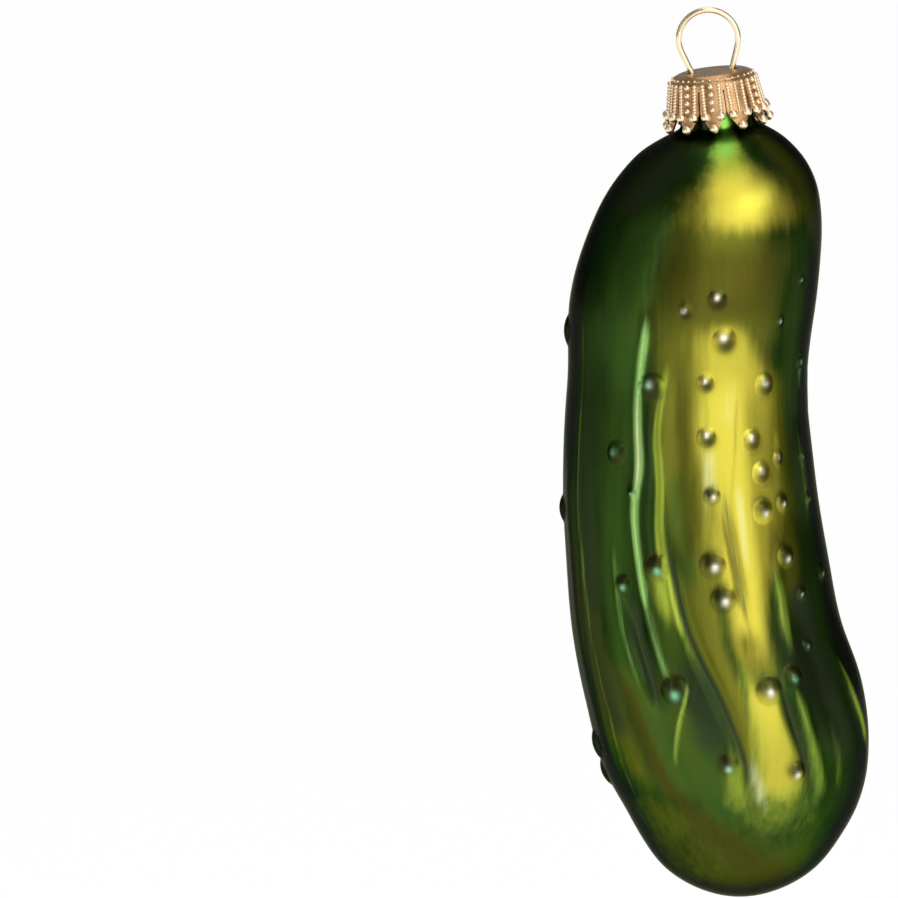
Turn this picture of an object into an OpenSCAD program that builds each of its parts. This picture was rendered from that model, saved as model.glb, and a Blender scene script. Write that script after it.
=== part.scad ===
// Blown-glass pickle tree ornament with a beaded crown cap and a wire hanging loop.
// Millimetres. The origin is the hanging point, at the inner top of the loop, and +Z is up.

/* [Pickle] */
// Height of the pickle, from the foot of its neck to its lowest point
body_length = 103.2; // [85:0.1:130]
// Greatest width, side to side
body_width = 37.6; // [30:0.1:46]
// Greatest depth, front to back
body_depth = 36.4; // [30:0.1:46]
// Sideways reach of the bend
bend_reach = 7.4; // [0:0.1:12]
// Thickness of the blown glass
glass_wall = 0.8; // [0.5:0.05:1.2]
// Height of the tallest fold, or depth of the deepest groove
fold_height = 0.7; // [0:0.05:1]
// Width of a full-size wart at its foot
wart_width = 3.2; // [2:0.1:3.6]
// Height of a full-size wart
wart_height = 0.6; // [0.3:0.05:1.2]

/* [Neck] */
// Lean of the neck and cap out of the vertical, in degrees
neck_lean = 6.5; // [0:0.5:12]
// Outside diameter of the neck
neck_d = 9.8; // [8.6:0.1:12]
// Thickness of the neck's wall
neck_wall = 0.75; // [0.5:0.05:1]
// How far the pickle's shoulder starts outside the neck
collar_lip = 0.35; // [0.2:0.05:0.8]

/* [Cap] */
// Thickness of the stamped metal
cap_sheet = 0.3; // [0.2:0.05:0.4]
// Room between the neck and the cap's wall
skirt_gap = 0.6; // [0.3:0.05:1]
// Radius of the rounded edge round the cap's top
cap_round = 1.8; // [1.2:0.1:2.4]
// Height of the tabs, from the rounded edge to their square end
tab_height = 2.95; // [2.4:0.05:4]
// Outward flare of the tabs, in degrees
tab_flare = 10; // [4:1:14]
// Number of tabs round the cap
tab_count = 11; // [9:1:12]
// Width of the slits between tabs, at their top
slit_width = 0.22; // [0.15:0.01:0.4]
// Drop from a tab's square end to the centre of its lowest bead
tip_drop = 1.9; // [1.5:0.05:2.4]
// Drop from a tab's square end to the centres of its two upper tip beads
ear_drop = 0.4; // [0.2:0.05:0.6]
// Diameter of the three beads on each tip
tip_bead_d = 1.3; // [1:0.05:1.4]
// Diameter of the beads down the middle of each tab
large_bead_d = 0.75; // [0.5:0.05:0.9]
// Number of beads down the middle of each tab
large_beads = 3; // [2:1:4]

/* [Hanger] */
// Outside diameter of the wire loop
loop_d = 8.65; // [7:0.05:10]
// Thickness of the wire
wire_d = 0.8; // [0.6:0.05:1]
// Gap that a full circle of the loop would leave above the cap
loop_rise = 0.27; // [0.1:0.01:1.5]
// Distance between the two legs where they pass through the cap
leg_gap = 5.4; // [4.8:0.1:5.8]
// Radius of the bend in each leg where it passes through the cap
leg_bend = 1; // [0.8:0.1:1.4]
// Reach of the legs below the top of the cap
leg_reach = 10.5; // [8:0.1:14]

/* [Fit] */
// Gap between the cap's underside and the glass rim
seat_gap = 0.1; // [0.08:0.01:0.2]
// Gap between the cap's lowest beads and the shoulder's start
tip_gap = 0.15; // [0.1:0.01:0.4]
// Gap all round a leg in its slot
slot_gap = 0.12; // [0.08:0.01:0.2]
// Gap between the end of a leg and the inside of the neck
leg_clearance = 0.2; // [0.1:0.01:0.4]
// How far the loop can be drawn up out of the cap
draw_up = 4; // [2:0.5:6]

/* [Hidden] */

glass_colour = [0.36, 0.45, 0.06];
cap_colour = [0.74, 0.55, 0.34];
wire_colour = [0.88, 0.78, 0.55];

// Every cut runs this far past the faces it opens
overrun = 0.5;

// Cap, measured down from its flat top
cap_r = neck_d / 2 + skirt_gap + cap_sheet;
cap_flat_r = cap_r - cap_round;
tab_end = cap_round + tab_height;
tip_depth = tab_end + tip_drop;
cap_height = tip_depth + tip_bead_d / 2;
tab_pitch = 360 / tab_count;
// The front tab stands a little to the left of the middle
first_tab = -4;
// Each upper tip bead stands this share of half a tab's width from the middle
ear_share = 0.64;
// The slits start this far below the rounded edge
slit_top = cap_round + cap_sheet / 2;
// Tip outline as shares of half the tab's width: its square end and its point
tip_root_share = 0.95;
tip_point_share = 0.3;
// Beads stand out of the metal's outer face by this share of their diameter
bead_proud_share = 0.6;
bead_sides = 8;

// Hanger
wire_r = wire_d / 2;
loop_r = loop_d / 2 - wire_r;
loop_height = loop_r + loop_rise;
leg_x = leg_gap / 2;
bend_x = leg_x + leg_bend;
bend_depth = cap_sheet / 2;
bend_drop = loop_height + bend_depth;
// Angle of the straight between the loop and the bend, which touches both circles
leg_lean = atan2(bend_drop, bend_x) - acos((loop_r + leg_bend) / norm([bend_x, bend_drop]));
bore_r = neck_d / 2 - neck_wall;
leg_end_x = bore_r - leg_clearance - wire_r;
// Angle of the straight below the bend, which touches the bend's circle and ends at the leg's end
leg_fall = leg_reach - bend_depth;
end_reach = norm([bend_x - leg_end_x, leg_fall]);
leg_splay = asin(leg_bend / end_reach) - atan2(bend_x - leg_end_x, leg_fall);
// Rings round the loop, rings in a leg's bend, and sides of the wire
loop_steps = 40;
bend_steps = 6;
wire_sides = 16;

// Slot in the cap: it clears the leg from the bend's inner side to where the leg stands when drawn up
slot_start = leg_x;
slot_end = leg_x + (draw_up + cap_sheet) * tan(max(leg_splay, 0)) + bend_depth * tan(leg_lean);

// Glass
neck_r = neck_d / 2;
// Inside, the cap's rounded edge has come down this far where it passes over the neck's outer corner
inner_round = cap_round - cap_sheet;
corner_drop = inner_round - sqrt(pow(inner_round, 2) - pow(max(0, neck_r - cap_flat_r), 2));
rim_drop = cap_sheet + corner_drop + seat_gap;
foot_drop = cap_height + tip_gap;
// The neck's solid reaches this share of the wall into the shoulder
neck_sink_share = 0.5;
loop_inner_r = loop_r - wire_r;
foot_x = (loop_height + foot_drop) * sin(neck_lean);
foot_z = -loop_inner_r - (loop_height + foot_drop) * cos(neck_lean);

// Outline of the pickle, from the neck's foot to its lowest point: share of the way down,
// share of the half width, and share of the bend's reach, to the right of the foot
outline_shares = [
    [0, 0, 0],
    [0.008, 0.29, -0.05],
    [0.024, 0.5, -0.11],
    [0.044, 0.62, -0.12],
    [0.07, 0.72, -0.14],
    [0.1, 0.79, -0.18],
    [0.14, 0.84, -0.26],
    [0.18, 0.865, -0.36],
    [0.225, 0.875, -0.45],
    [0.27, 0.86, -0.51],
    [0.316, 0.846, -0.54],
    [0.36, 0.856, -0.56],
    [0.41, 0.878, -0.54],
    [0.485, 0.905, -0.48],
    [0.56, 0.93, -0.36],
    [0.64, 0.957, -0.21],
    [0.705, 0.995, 0.03],
    [0.76, 0.99, 0.19],
    [0.8, 0.97, 0.27],
    [0.84, 0.925, 0.34],
    [0.88, 0.83, 0.42],
    [0.92, 0.71, 0.42],
    [0.96, 0.545, 0.41],
    [1, 0, 0.4]
];
// The neck's own roundness has faded out at this share of the way down, and its lean at the next
collar_share = 0.04;
lean_share = 0.28;

// Folds and grooves along the pickle: share where it starts and where it ends, angle at its start
// and at its end from the front towards the right, half its width in degrees, and share of fold_height
fold_shares = [
    [0.2, 0.74, -23, -24, 5, 0.9],
    [0.25, 0.6, -9, -14, 4, 0.5],
    [0.22, 0.84, -4, 4, 6, -0.9],
    [0.44, 0.64, 15, 18, 4, -0.5],
    [0.3, 0.7, 27, 24, 8, 0.4],
    [0.56, 0.8, 44, 37, 5, -0.8],
    [0.66, 0.86, 33, 31, 4, 0.6],
    [0.16, 0.62, 52, 55, 6, -0.6],
    [0.38, 0.54, 72, 66, 5, 0.6],
    [0.68, 0.82, 64, 75, 5, 0.7],
    [0.16, 0.66, -44, -42, 7, -0.5],
    [0.56, 0.86, -38, -34, 6, -0.8],
    [0.4, 0.84, -70, -64, 8, 0.6],
    [0.18, 0.86, 105, 98, 8, -1],
    [0.16, 0.84, 140, 150, 8, -0.9],
    [0.2, 0.88, 182, 176, 8, -1],
    [0.15, 0.82, 220, 214, 8, -0.9],
    [0.2, 0.84, 246, 250, 8, -0.8]
];
// A fold rises and dies away over this share of the pickle's length
fold_ease_share = 0.09;

// Warts on the front and sides: share of the way down, angle, and share of wart_width
front_wart_shares = [
    [0.19, 58, 0.5], [0.2, 12, 0.75], [0.216, -4, 0.6], [0.24, 46, 0.5], [0.255, 17, 1],
    [0.265, -90, 1.05], [0.3, 67, 0.6], [0.31, 8, 0.7], [0.318, 39, 0.9], [0.318, -17, 1],
    [0.38, 9, 0.75], [0.388, 31, 0.85], [0.405, -36, 0.9], [0.403, 50, 0.6], [0.42, 65, 0.45],
    [0.436, 37, 0.85], [0.456, 10, 0.7], [0.455, -28, 0.45], [0.484, 34, 0.95], [0.474, 50, 0.7],
    [0.474, 67, 0.5], [0.495, -90, 1.05], [0.54, 43, 0.85], [0.542, 7, 1], [0.55, -18, 1],
    [0.57, 68, 0.6], [0.575, -36, 0.75], [0.592, 9, 1], [0.59, 50, 0.5], [0.65, 50, 0.5],
    [0.692, 35, 0.85], [0.706, 20, 1.1], [0.708, -20, 1.1], [0.804, -3, 0.9], [0.815, 28, 0.85],
    [0.8, -82, 1.1], [0.838, -95, 1.1]
];
// Warts round the back are spread evenly but out of step, by a turn that never repeats
back_warts = 22;
back_from = 96;
back_span = 154;
back_top_share = 0.2;
back_end_share = 0.84;
turn_share = 0.618;
// Three sizes of back wart, as shares of wart_width
back_size_shares = [1, 0.7, 0.85];

// Grid of the outer surface: columns round it, then rings in the shoulder, along the side and
// in the rounded end. The lining has the same columns and fewer rings.
columns = 48;
column_turn = 360 / columns;
skin_rings = [7, 30, 8];
lining_rings = [5, 12, 5];
shoulder_share = 0.1;
end_share = 0.86;
// Rings of the shoulder lie closer to the neck by this power
shoulder_power = 1.3;
// The lining draws in from below, and no longer from the side, by this power of the way down
lining_power = 8;

// Wart dome as shares of its radius and height: foot, flank; its top is a single point
dome_shares = [[1, 0], [0.7, 0.72]];
// A dome may stand this share of a grid step from its grid point
stray_share = 0.35;
around = [[-1, -1], [-1, 0], [-1, 1], [0, 1], [1, 1], [1, 0], [1, -1], [0, -1]];

function ease(x) = let (t = min(1, max(0, x))) t * t * (3 - 2 * t);

function ring_share(i, rings) =
    i <= rings[0]
        ? shoulder_share * pow(i / rings[0], shoulder_power)
        : i <= rings[0] + rings[1]
            ? shoulder_share + (end_share - shoulder_share) * (i - rings[0]) / rings[1]
            : end_share + (1 - end_share) * sin(90 * (i - rings[0] - rings[1]) / rings[2]);
function ring_total(rings) = rings[0] + rings[1] + rings[2];

// A smooth curve through the outline's rows. The widths are squared, so the end closes round.
outline_squares = [for (row = outline_shares) [row[0], row[1] * row[1], row[2]]];
function row_before(s, k = 0) =
    k >= len(outline_squares) - 2 || outline_squares[k + 1][0] > s ? k : row_before(s, k + 1);
function row_slope(k, column) =
    let (a = outline_squares[max(k - 1, 0)], b = outline_squares[min(k + 1, len(outline_squares) - 1)])
    (b[column] - a[column]) / (b[0] - a[0]);
function outline_at(s, column) =
    let (
        k = row_before(s),
        a = outline_squares[k],
        b = outline_squares[k + 1],
        h = b[0] - a[0],
        t = (s - a[0]) / h,
        t2 = t * t,
        t3 = t2 * t
    )
    (2 * t3 - 3 * t2 + 1) * a[column] + (t3 - 2 * t2 + t) * h * row_slope(k, column)
        + (3 * t2 - 2 * t3) * b[column] + (t3 - t2) * h * row_slope(k + 1, column);

function collar_at(s) = pow(max(0, 1 - s / collar_share), 2);
function half_width(s) =
    sqrt(max(0, outline_at(s, 1)) * pow(body_width / 2, 2) + collar_at(s) * pow(neck_r + collar_lip, 2));
function roundness(s) = 1 + (body_depth / body_width - 1) * (1 - collar_at(s));

function turned(a) = a - 360 * round(a / 360);
function fold_at(s, a) =
    fold_height * max(0, 1 - collar_at(s)) * sum_folds(s, a, len(fold_shares) - 1);
function sum_folds(s, a, k) = k < 0 ? 0 : one_fold(s, a, fold_shares[k]) + sum_folds(s, a, k - 1);
function one_fold(s, a, row) =
    s <= row[0] || s >= row[1]
        ? 0
        : let (middle = row[2] + (row[3] - row[2]) * (s - row[0]) / (row[1] - row[0]))
          row[5] * exp(-pow(turned(a - middle) / row[4], 2))
              * ease((s - row[0]) / fold_ease_share) * ease((row[1] - s) / fold_ease_share);

// A point of the pickle's surface, drawn in by a depth, at a share of the way down and an angle
function skin(s, a, depth = 0) =
    let (
        r = half_width(s) + (s < 1 ? fold_at(s, a) : 0) - depth,
        lean = neck_lean * (1 - ease(s / lean_share)),
        across = r * sin(a)
    )
    [
        foot_x + outline_at(s, 2) * bend_reach + across * cos(lean),
        -r * roundness(s) * cos(a),
        foot_z - s * body_length + across * sin(lean)
    ];
function skin_normal(s, a) =
    let (
        step = 0.004,
        down = skin(s + step, a) - skin(s - step, a),
        round = skin(s, a + 1) - skin(s, a - 1),
        n = cross(round, down)
    )
    -n / norm(n);
function lining(s, a) =
    s == 0
        ? place_neck_point(bore_r - glass_wall * neck_sink_share / 2, a)
        : skin(s, a, glass_wall * (1 - pow(s, lining_power))) + [0, 0, glass_wall * pow(s, lining_power)];
function place_neck_point(r, a) = [
    foot_x + r * sin(a) * cos(neck_lean),
    -r * cos(a),
    foot_z + r * sin(a) * sin(neck_lean)
];

// Each wart stands on the nearest grid point: [ring, column, share down, angle, width]
function nearest_ring(s, i = 1) =
    ring_share(i + 1, skin_rings) + ring_share(i, skin_rings) > 2 * s ? i : nearest_ring(s, i + 1);
function near(value, middle, reach) = min(middle + reach, max(middle - reach, value));
function placed_wart(row) =
    let (
        i = nearest_ring(row[0]),
        j = round(row[1] / column_turn),
        s = ring_share(i, skin_rings),
        s_reach = (ring_share(i + 1, skin_rings) - s) * stray_share
    )
    [i, (j + columns) % columns, near(row[0], s, s_reach),
        near(row[1], j * column_turn, column_turn * stray_share), row[2] * wart_width];
back_wart_shares = [
    for (k = [0 : back_warts - 1])
        [
            back_top_share + (back_end_share - back_top_share) * (k + 0.5) / back_warts,
            back_from + back_span * (k * turn_share - floor(k * turn_share)),
            back_size_shares[k % len(back_size_shares)]
        ]
];
warts = [for (row = concat(front_wart_shares, back_wart_shares)) placed_wart(row)];

function wart_point(wart, direction, rung) =
    let (
        reach = wart[4] / 2 * rung[0] / norm(direction),
        s = wart[2] + reach * direction[0] / body_length,
        a = wart[3] + reach * direction[1] / half_width(wart[2]) * 180 / PI
    )
    skin(s, a) + skin_normal(wart[2], wart[3]) * wart_height * wart[4] / wart_width * rung[1];
function wart_points(wart) = concat(
    [for (rung = dome_shares) for (direction = around) wart_point(wart, direction, rung)],
    [skin(wart[2], wart[3]) + skin_normal(wart[2], wart[3]) * wart_height * wart[4] / wart_width]
);

// A closed grid: rings of points, and a last point that closes its end
function grid_points(rings, lined) = concat(
    [
        for (i = [0 : ring_total(rings) - 1]) for (j = [0 : columns - 1])
            let (s = ring_share(i, rings), a = j * column_turn) lined ? lining(s, a) : skin(s, a)
    ],
    [lined ? lining(1, 0) : skin(1, 0)]
);
function cell(i, j, start) = let (k = (j + 1) % columns, row = start + i * columns)
    [row + j, row + k, row + columns + k, row + columns + j];
function end_faces(rings, start) = let (last = start + (ring_total(rings) - 1) * columns)
    [for (j = [0 : columns - 1]) [last + j, last + (j + 1) % columns, last + columns]];
function halves(quad) = [[quad[0], quad[1], quad[2]], [quad[0], quad[2], quad[3]]];
function flip(face) = [for (k = [len(face) - 1 : -1 : 0]) face[k]];

skin_count = ring_total(skin_rings) * columns + 1;
lining_start = skin_count;
lining_count = ring_total(lining_rings) * columns + 1;
wart_start = lining_start + lining_count;
wart_count = 8 * len(dome_shares) + 1;

function carries_wart(i, j) =
    let (k = (j + 1) % columns)
    len([for (w = warts) if ((i == w[0] || i == w[0] - 1) && (j == w[1] || k == w[1])) w]) > 0;
function rim_of(wart) = [
    for (d = around) (wart[0] + d[0]) * columns + (wart[1] + d[1] + columns) % columns
];
function wart_faces(k) =
    let (
        start = wart_start + k * wart_count,
        loops = concat([rim_of(warts[k])],
            [for (r = [0 : len(dome_shares) - 1]) [for (m = [0 : 7]) start + 8 * r + m]]),
        top = start + 8 * len(dome_shares),
        last = loops[len(dome_shares)]
    )
    concat(
        [for (r = [0 : len(dome_shares) - 1]) for (m = [0 : 7])
            each halves([loops[r][m], loops[r][(m + 1) % 8], loops[r + 1][(m + 1) % 8], loops[r + 1][m]])],
        [for (m = [0 : 7]) [last[m], last[(m + 1) % 8], top]]
    );

skin_faces = [
    for (i = [0 : ring_total(skin_rings) - 2]) for (j = [0 : columns - 1])
        if (!carries_wart(i, j)) each halves(cell(i, j, 0))
];
lining_faces = [
    for (i = [0 : ring_total(lining_rings) - 2]) for (j = [0 : columns - 1])
        each [for (face = halves(cell(i, j, lining_start))) flip(face)]
];
mouth_faces = [
    for (j = [0 : columns - 1]) let (k = (j + 1) % columns)
        each halves([lining_start + j, lining_start + k, k, j])
];

// Places its children in the neck's frame: the loop's centre, with the neck's axis upright
module in_neck_frame() {
    translate([0, 0, -loop_inner_r]) rotate([0, -neck_lean, 0]) children();
}

// Places its children in the cap's frame: the middle of its flat top
module in_cap_frame() {
    in_neck_frame() translate([0, 0, -loop_height]) children();
}

module pickle_shell() {
    polyhedron(
        points = concat(
            grid_points(skin_rings, false),
            grid_points(lining_rings, true),
            [for (wart = warts) each wart_points(wart)]
        ),
        faces = concat(
            skin_faces,
            end_faces(skin_rings, 0),
            [for (k = [0 : len(warts) - 1]) each wart_faces(k)],
            lining_faces,
            [for (face = end_faces(lining_rings, lining_start)) flip(face)],
            mouth_faces
        ),
        convexity = 6
    );
}

module glass_body() {
    sink = glass_wall * neck_sink_share;
    color(glass_colour) difference() {
        union() {
            pickle_shell();
            in_cap_frame() translate([0, 0, -foot_drop - sink])
                cylinder(r = neck_r, h = foot_drop + sink - rim_drop, $fn = 64);
        }
        in_cap_frame() translate([0, 0, -foot_drop - 2 * glass_wall])
            cylinder(r = bore_r, h = foot_drop + 2 * glass_wall, $fn = 64);
    }
}

// Quarter of a rounded edge in section, with its foot at the height of the circle's centre
module rounded_corner(r, radius) {
    translate([0, -radius]) square([r - radius, radius]);
    intersection() {
        translate([r - radius, -radius]) circle(r = radius, $fn = 64);
        translate([r - radius, -radius]) square(radius);
    }
}

// Radius of the metal's outer face at a depth below the cap's top, on a tab
function tab_r(depth) = cap_r + (depth - cap_round) * tan(tab_flare);

// The lid and its flared skirt, turned in one piece
module cap_sheet_metal() {
    rotate_extrude($fn = 96) {
        difference() {
            rounded_corner(cap_r, cap_round);
            translate([0, -cap_sheet]) rounded_corner(cap_r - cap_sheet, cap_round - cap_sheet);
        }
        polygon([
            [cap_r - cap_sheet, -cap_round],
            [cap_r, -cap_round],
            [tab_r(tip_depth), -tip_depth],
            [tab_r(tip_depth) - cap_sheet, -tip_depth]
        ]);
    }
}

tab_half = PI * cap_r / tab_count - slit_width / 2;
notch_root = slit_width / 2 + tab_half * (1 - tip_root_share);
notch_mouth = PI * tab_r(tip_depth) / tab_count - tab_half * tip_point_share;

// What is cut away between two tabs: a slit that opens out below into a pointed notch
module tab_notch() {
    half = [
        [slit_width / 2, -slit_top],
        [slit_width / 2, -tab_end],
        [notch_root, -tab_end - ear_drop],
        [notch_mouth, -tip_depth],
        [notch_mouth, -tip_depth - overrun]
    ];
    translate([0, -cap_r / 2, 0]) rotate([90, 0, 0]) linear_extrude(height = cap_r)
        polygon(concat(half, [for (k = [len(half) - 1 : -1 : 0]) [-half[k][0], half[k][1]]]));
}

// A bead pressed out of the tab's face, across from the tab's middle and down from the top
module tab_bead(d, across, depth) {
    rotate([0, 0, across / tab_r(depth) * 180 / PI])
        translate([0, -tab_r(depth), -depth]) rotate([90 - tab_flare, 0, 0])
            translate([0, 0, d * bead_proud_share - d / 2]) sphere(d = d, $fn = bead_sides);
}

module tab_beads() {
    top = cap_round + large_bead_d / 2;
    bottom = tab_end - large_bead_d / 2;
    for (k = [0 : large_beads - 1])
        tab_bead(large_bead_d, 0, top + (bottom - top) * k / (large_beads - 1));
    for (side = [-1, 1])
        tab_bead(tip_bead_d, side * tab_half * ear_share, tab_end + ear_drop);
    tab_bead(tip_bead_d, 0, tip_depth);
}

// Slot that lets a leg of the loop pass and lean outwards
module leg_slot() {
    translate([0, 0, -cap_sheet - overrun]) linear_extrude(height = cap_sheet + 2 * overrun) {
        translate([slot_start, -wire_r - slot_gap]) square([slot_end - slot_start, wire_d + 2 * slot_gap]);
        for (x = [slot_start, slot_end])
            translate([x, 0]) circle(r = wire_r + slot_gap, $fn = 32);
    }
}

module cap() {
    color(cap_colour) in_cap_frame() union() {
        difference() {
            cap_sheet_metal();
            for (k = [0 : tab_count - 1]) rotate([0, 0, first_tab + (k + 0.5) * tab_pitch]) tab_notch();
            for (side = [0, 180]) rotate([0, 0, side]) leg_slot();
        }
        for (k = [0 : tab_count - 1]) rotate([0, 0, first_tab + k * tab_pitch]) tab_beads();
    }
}

// Path of the wire in the neck's frame, from one leg's end round the loop to the other's
bend_middle = [bend_x, -bend_drop];
leg_end = [leg_end_x, -loop_height - leg_reach];
function arc_points(middle, radius, from, to, steps) =
    [for (k = [0 : steps]) let (a = from + (to - from) * k / steps) middle + radius * [cos(a), sin(a)]];
right_leg = concat(
    [leg_end],
    arc_points(bend_middle, leg_bend, 180 + leg_splay, 180 - leg_lean, bend_steps)
);
function mirrored(points) = [for (k = [len(points) - 1 : -1 : 0]) [-points[k][0], points[k][1]]];
wire_path = concat(
    right_leg,
    arc_points([0, 0], loop_r, -leg_lean, 180 + leg_lean, loop_steps),
    mirrored(right_leg)
);

// A round tube along a path in the X-Z plane, closed at both ends
function path_way(path, k) =
    let (way = path[min(k + 1, len(path) - 1)] - path[max(k - 1, 0)]) way / norm(way);
module wire_tube(path) {
    last = len(path) - 1;
    points = [
        for (k = [0 : last]) let (way = path_way(path, k)) for (m = [0 : wire_sides - 1])
            let (a = 360 * m / wire_sides, side = wire_r * cos(a))
            [path[k][0] + side * way[1], wire_r * sin(a), path[k][1] - side * way[0]]
    ];
    walls = [
        for (k = [0 : last - 1]) for (m = [0 : wire_sides - 1])
            let (n = (m + 1) % wire_sides, row = k * wire_sides)
            each halves([row + m, row + n, row + wire_sides + n, row + wire_sides + m])
    ];
    start_cap = [for (m = [1 : wire_sides - 2]) [0, m + 1, m]];
    end_cap = [for (m = [1 : wire_sides - 2]) last * wire_sides * [1, 1, 1] + [0, m, m + 1]];
    polyhedron(points = points, faces = concat(walls, start_cap, end_cap), convexity = 8);
}

module hanger() {
    color(wire_colour) in_neck_frame() wire_tube(wire_path);
}

glass_body();
cap();
hanger();
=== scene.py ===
# %% [markdown]
# # A blown-glass pickle ornament
# The ornament is a thin glass pickle, silvered inside and lacquered outside, with a beaded crown cap and a
# springy wire loop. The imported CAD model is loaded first. It is the fixed frame that every piece is fitted
# to, in metres, with its origin at the hanging point and +Z up.

# %% Load the frame
import math

import bmesh
import bpy
import numpy as np
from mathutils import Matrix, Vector


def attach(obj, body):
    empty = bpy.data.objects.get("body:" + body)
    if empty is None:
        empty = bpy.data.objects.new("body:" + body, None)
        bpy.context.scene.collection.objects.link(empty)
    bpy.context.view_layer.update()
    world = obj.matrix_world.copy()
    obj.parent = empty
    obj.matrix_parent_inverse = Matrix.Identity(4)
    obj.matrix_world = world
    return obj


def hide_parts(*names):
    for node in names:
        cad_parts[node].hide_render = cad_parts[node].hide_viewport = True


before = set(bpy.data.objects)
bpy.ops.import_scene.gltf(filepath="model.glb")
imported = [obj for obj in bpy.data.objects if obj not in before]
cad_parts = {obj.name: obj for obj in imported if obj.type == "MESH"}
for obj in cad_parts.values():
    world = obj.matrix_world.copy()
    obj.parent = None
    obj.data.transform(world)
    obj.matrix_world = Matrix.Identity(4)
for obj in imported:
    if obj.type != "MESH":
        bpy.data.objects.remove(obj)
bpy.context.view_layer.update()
mm = 0.001

# %% [markdown]
# ## Camera
# The ornament was photographed with a long lens from a little above. A long lens far away shows it without
# strong perspective, so the camera stands well back and looks down by a few degrees. It is aimed beside the
# ornament, because the ornament stands at the right of the picture. Aiming is chosen over a lens shift, so
# that every other view stays centred.

# %% Camera
camera_far = 4
look_down = math.radians(8.5)
picture_width = 119 * mm
aim = Vector((-34.3, 0, -58.3)) * mm

bpy.ops.object.camera_add(
    location=aim + camera_far * Vector((0, -math.cos(look_down), math.sin(look_down))),
    rotation=(math.pi / 2 - look_down, 0, 0),
)
camera = bpy.context.object
camera.data.lens = camera.data.sensor_width * camera_far / picture_width
camera.data.clip_end = 20
bpy.context.scene.camera = camera
print("lens", round(camera.data.lens), "mm at", camera_far, "m")

# %% [markdown]
# ## Studio
# Satin metal shows what stands round it more than the light that falls on it. A big soft box at the right of
# the camera makes the long bright band down the front, and a narrow one at the left draws the thin bright
# lines there, helped by painted highlights on the ridges. The small box makes the bright spot on the
# shoulder, the two boxes above light the wedge that runs up to the cap, and the dimmer world leaves the sides
# dark. A lamp is given by how bright it looks in a mirror, where 1 is white, because that is what the
# lacquer's colour is multiplied by.

# %% Studio helpers
object_middle = Vector((4, 0, -60)) * mm


def soft_box(name, azimuth, height, distance, size, level):
    """An area lamp round the ornament: 0 degrees is the camera's side, and plus is to the right."""
    turn = math.radians(azimuth)
    place = object_middle + Vector((math.sin(turn) * distance, -math.cos(turn) * distance, height))
    aim_at = (object_middle - place).to_track_quat("-Z", "Y").to_euler()
    bpy.ops.object.light_add(type="AREA", location=place, rotation=aim_at)
    lamp = bpy.context.object
    lamp.name = name
    lamp.data.shape = "RECTANGLE"
    lamp.data.size, lamp.data.size_y = size
    lamp.data.energy = level * math.pi * size[0] * size[1]
    lamp.visible_camera = False


# %% Helpers for finishes
def new_finish(name, metallic, roughness):
    finish = bpy.data.materials.new(name)
    finish.use_nodes = True
    shader = finish.node_tree.nodes["Principled BSDF"]
    shader.inputs["Metallic"].default_value = metallic
    shader.inputs["Roughness"].default_value = roughness
    return finish, finish.node_tree, shader


def add_node(tree, kind, **settings):
    made = tree.nodes.new(kind)
    for name, value in settings.items():
        setattr(made, name, value)
    return made


def attribute(tree, name):
    return add_node(tree, "ShaderNodeAttribute", attribute_name=name).outputs["Fac"]


def noise(tree, size, stretch=(1, 1, 1), detail=4):
    """Noise with blobs of about a given size, drawn out by a stretch along x, y and z."""
    place = add_node(tree, "ShaderNodeTexCoord").outputs["Object"]
    mapping = add_node(tree, "ShaderNodeMapping")
    mapping.inputs["Scale"].default_value = [1 / (size * k) for k in stretch]
    tree.links.new(place, mapping.inputs["Vector"])
    made = add_node(tree, "ShaderNodeTexNoise")
    made.inputs["Scale"].default_value = 1
    made.inputs["Detail"].default_value = detail
    made.inputs["Roughness"].default_value = 0.55
    tree.links.new(mapping.outputs["Vector"], made.inputs["Vector"])
    return made.outputs["Fac"]


def math_node(tree, operation, first, second):
    """A sum on two values, each a number or another node's output."""
    made = add_node(tree, "ShaderNodeMath", operation=operation)
    for k, value in enumerate((first, second)):
        if isinstance(value, (int, float)):
            made.inputs[k].default_value = value
        else:
            tree.links.new(value, made.inputs[k])
    return made.outputs[0]


def map_range(tree, value, low, high, to_low=0.0, to_high=1.0):
    """Maps low to high onto another range, with a soft start and a soft end."""
    made = add_node(tree, "ShaderNodeMapRange", interpolation_type="SMOOTHSTEP")
    for name, number in (("From Min", low), ("From Max", high), ("To Min", to_low), ("To Max", to_high)):
        made.inputs[name].default_value = number
    tree.links.new(value, made.inputs["Value"])
    return made.outputs["Result"]


def over(tree, amount, under, colour):
    """Lays a colour over another one by an amount. A colour is three numbers or another node's output."""
    made = add_node(tree, "ShaderNodeMix", data_type="RGBA")
    tree.links.new(amount, made.inputs["Factor"])
    for socket, value in ((made.inputs[6], under), (made.inputs[7], colour)):
        if isinstance(value, tuple):
            socket.default_value = (*value, 1)
        else:
            tree.links.new(value, socket)
    return made.outputs[2]


def bump(tree, shader, *layers):
    """Adds bumps to a shader: pairs of a height source and a height in metres."""
    normal = None
    for height, depth in layers:
        made = add_node(tree, "ShaderNodeBump")
        made.inputs["Distance"].default_value = depth
        tree.links.new(height, made.inputs["Height"])
        if normal is not None:
            tree.links.new(normal, made.inputs["Normal"])
        normal = made.outputs["Normal"]
    tree.links.new(normal, shader.inputs["Normal"])


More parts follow.
